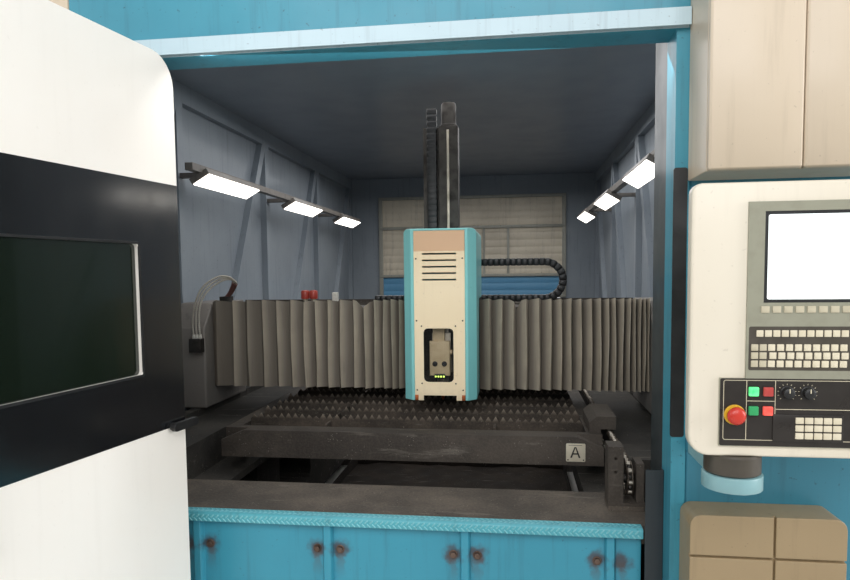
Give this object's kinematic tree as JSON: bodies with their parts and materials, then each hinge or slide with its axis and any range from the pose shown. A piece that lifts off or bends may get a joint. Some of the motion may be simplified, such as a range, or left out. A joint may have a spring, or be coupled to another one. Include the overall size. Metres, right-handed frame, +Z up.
{
  "type": "fiber laser cutting machine",
  "caption": "Enclosed flatbed laser cutter: cabin with folding door, gantry with cutting head, toothed slat pallet on a chain drive, and control tower with swivel console.",
  "frame": {"origin": "on the floor under the front beam of the base frame, in the middle of the door opening", "axes": "+Z up, +Y from the operator's side into the machine, +X to the operator's right"},
  "size_m": [2.746, 5.9658, 2.62],
  "materials": {
    "frame_blue": "satin light blue paint",
    "deep_blue": "satin dark blue paint",
    "cabinet_cream": "satin warm grey-cream paint",
    "door_white": "smooth white paint",
    "cover_teal": "gloss teal paint",
    "dusty_steel": "rough steel under cutting dust",
    "dark_steel": "dark oiled steel",
    "bright_steel": "bright machined steel",
    "copper": "bare copper",
    "black_plastic": "matt black",
    "grey_plastic": "matt dark grey",
    "bellows_cloth": "coated cloth, dusty",
    "laser_glass": "dark green laser safety glass",
    "clear_pane": "clear pane, a little dusty",
    "screen_white": "lit screen",
    "lamp_white": "lit diffuser",
    "signal_red": "gloss red",
    "signal_green": "gloss green"
  },
  "bodies": {
    "root": {"base_frame": "frame_blue", "door_frame": "frame_blue", "column_trim": "black_plastic", "front_panel_left": "cabinet_cream", "side_wall_left": "deep_blue", "side_wall_right": "deep_blue", "rear_wall": "deep_blue", "roof_panel": "frame_blue", "fence_panel": "frame_blue", "tread_sill": "frame_blue", "sill_shelf": "dusty_steel", "guard_post": "deep_blue", "lamp_row_left": "lamp_white", "lamp_row_right": "lamp_white", "bed_left": "dusty_steel", "bed_right": "dusty_steel", "drive_chain": "dark_steel", "chain_drive_unit": "frame_blue", "sprocket_bracket": "dusty_steel", "tower_body": "frame_blue", "upper_cabinet": "cabinet_cream", "lower_covers": "cabinet_cream", "door_track": "bright_steel"},
    "sprocket": {"chain_sprocket": "bright_steel"},
    "pallet": {"pallet_frame": "dusty_steel", "slat_grid": "dusty_steel"},
    "wheels_front": {"wheelset_front": "dark_steel"},
    "wheels_rear": {"wheelset_rear": "dark_steel"},
    "gantry": {"gantry_beam": "dusty_steel", "end_housing_left": "deep_blue", "end_housing_right": "deep_blue", "hose_bundle": "black_plastic", "bellows_left": "bellows_cloth", "bellows_right": "bellows_cloth"},
    "carriage": {"carriage_saddle": "dark_steel", "head_cover": "cover_teal", "cover_front": "door_white", "cover_window": "clear_pane", "z_mast": "dark_steel"},
    "carrier_loop": {"cable_carrier": "black_plastic"},
    "head": {"cutting_head": "bright_steel", "cutting_nozzle": "copper"},
    "door_inner": {"door_leaf_inner": "door_white", "laser_window_inner": "laser_glass"},
    "door_outer": {"door_leaf_outer": "door_white", "laser_window_outer": "laser_glass", "grab_bar": "bright_steel"},
    "lever": {"door_lever": "black_plastic"},
    "cabinet_leaf_left": {"cabinet_door_left": "cabinet_cream"},
    "cabinet_leaf_right": {"cabinet_door_right": "cabinet_cream"},
    "pendant": {"pendant_housing": "door_white", "console_panel": "grey_plastic", "console_screen": "screen_white"},
    "start_key": {"button_start": "signal_green"},
    "stop_key": {"button_stop": "signal_red"},
    "hold_key": {"button_hold": "signal_green"},
    "reset_key": {"button_reset": "signal_red"},
    "feed_knob": {"knob_feed": "black_plastic"},
    "power_knob": {"knob_power": "black_plastic"},
    "emergency_stop": {"e_stop": "signal_red"}
  },
  "joints": [
    {"name": "gantry_travel", "type": "slide", "parent": "root", "child": "gantry", "axis": [0, 1, 0], "range_m": [-0.15, 2.7]},
    {"name": "carriage_travel", "type": "slide", "parent": "gantry", "child": "carriage", "axis": [1, 0, 0], "range_m": [-0.55, 0.45], "deforming": ["bellows_left", "bellows_right"]},
    {"name": "carrier_shift", "type": "slide", "parent": "carriage", "child": "carrier_loop", "axis": [1, 0, 0], "range_m": [-0.225, 0.275], "deforming": ["cable_carrier"]},
    {"name": "head_lift", "type": "slide", "parent": "carriage", "child": "head", "axis": [0, 0, 1], "range_m": [-0.025, 0.12]},
    {"name": "pallet_travel", "type": "slide", "parent": "root", "child": "pallet", "axis": [0, 1, 0], "range_m": [0, 1.35]},
    {"name": "front_wheels_spin", "type": "hinge", "parent": "pallet", "child": "wheels_front", "pos_m": [0, 0.87, 0.7843], "axis": [1, 0, 0], "range_deg": [-1760, 0]},
    {"name": "rear_wheels_spin", "type": "hinge", "parent": "pallet", "child": "wheels_rear", "pos_m": [0, 3.4, 0.7843], "axis": [1, 0, 0], "range_deg": [-1760, 0]},
    {"name": "sprocket_turn", "type": "hinge", "parent": "root", "child": "sprocket", "pos_m": [0.822, 0.215, 0.868], "axis": [1, 0, 0], "range_deg": [-1555, 0]},
    {"name": "door_fold_inner", "type": "hinge", "parent": "root", "child": "door_inner", "pos_m": [-0.905, -0.112, 1], "axis": [0, 0, 1], "range_deg": [-3, 81.45]},
    {"name": "door_fold_outer", "type": "hinge", "parent": "door_inner", "child": "door_outer", "pos_m": [-0.77045, -1.00694, 1], "axis": [0, 0, 1], "range_deg": [-162.9, 6]},
    {"name": "door_lever_turn", "type": "hinge", "parent": "door_outer", "child": "lever", "pos_m": [-0.58965, -0.18974, 1.112], "axis": [0.9889, -0.1487, 0], "range_deg": [-60, 0]},
    {"name": "cabinet_swing_left", "type": "hinge", "parent": "root", "child": "cabinet_leaf_left", "pos_m": [0.923, -0.3, 2.1335], "axis": [0, 0, 1], "range_deg": [-110, 0]},
    {"name": "cabinet_swing_right", "type": "hinge", "parent": "root", "child": "cabinet_leaf_right", "pos_m": [1.369, -0.3, 2.1335], "axis": [0, 0, 1], "range_deg": [0, 110]},
    {"name": "pendant_swivel", "type": "hinge", "parent": "root", "child": "pendant", "pos_m": [0.955, -0.42, 1.139], "axis": [0, 0, 1], "range_deg": [-60, 25]},
    {"name": "start_press", "type": "slide", "parent": "pendant", "child": "start_key", "axis": [0, 1, 0], "range_m": [0, 0.004], "stiffness_N_per_m": 300},
    {"name": "stop_press", "type": "slide", "parent": "pendant", "child": "stop_key", "axis": [0, 1, 0], "range_m": [0, 0.004], "stiffness_N_per_m": 300},
    {"name": "hold_press", "type": "slide", "parent": "pendant", "child": "hold_key", "axis": [0, 1, 0], "range_m": [0, 0.004], "stiffness_N_per_m": 300},
    {"name": "reset_press", "type": "slide", "parent": "pendant", "child": "reset_key", "axis": [0, 1, 0], "range_m": [0, 0.004], "stiffness_N_per_m": 300},
    {"name": "feed_turn", "type": "hinge", "parent": "pendant", "child": "feed_knob", "pos_m": [1.052, -0.4766, 1.29], "axis": [0, 1, 0], "range_deg": [-135, 135]},
    {"name": "power_turn", "type": "hinge", "parent": "pendant", "child": "power_knob", "pos_m": [1.096, -0.4766, 1.29], "axis": [0, 1, 0], "range_deg": [-135, 135]},
    {"name": "emergency_press", "type": "slide", "parent": "pendant", "child": "emergency_stop", "axis": [0, 1, 0], "range_m": [0, 0.004]}
  ],
  "couplings": [
    {"joint": "carrier_shift", "follows": "carriage_travel", "ratio": -0.5},
    {"joint": "front_wheels_spin", "follows": "pallet_travel", "rad_per_m": -22.727},
    {"joint": "rear_wheels_spin", "follows": "pallet_travel", "rad_per_m": -22.727},
    {"joint": "sprocket_turn", "follows": "pallet_travel", "rad_per_m": -20.088},
    {"joint": "door_fold_outer", "follows": "door_fold_inner", "ratio": -2}
  ]
}
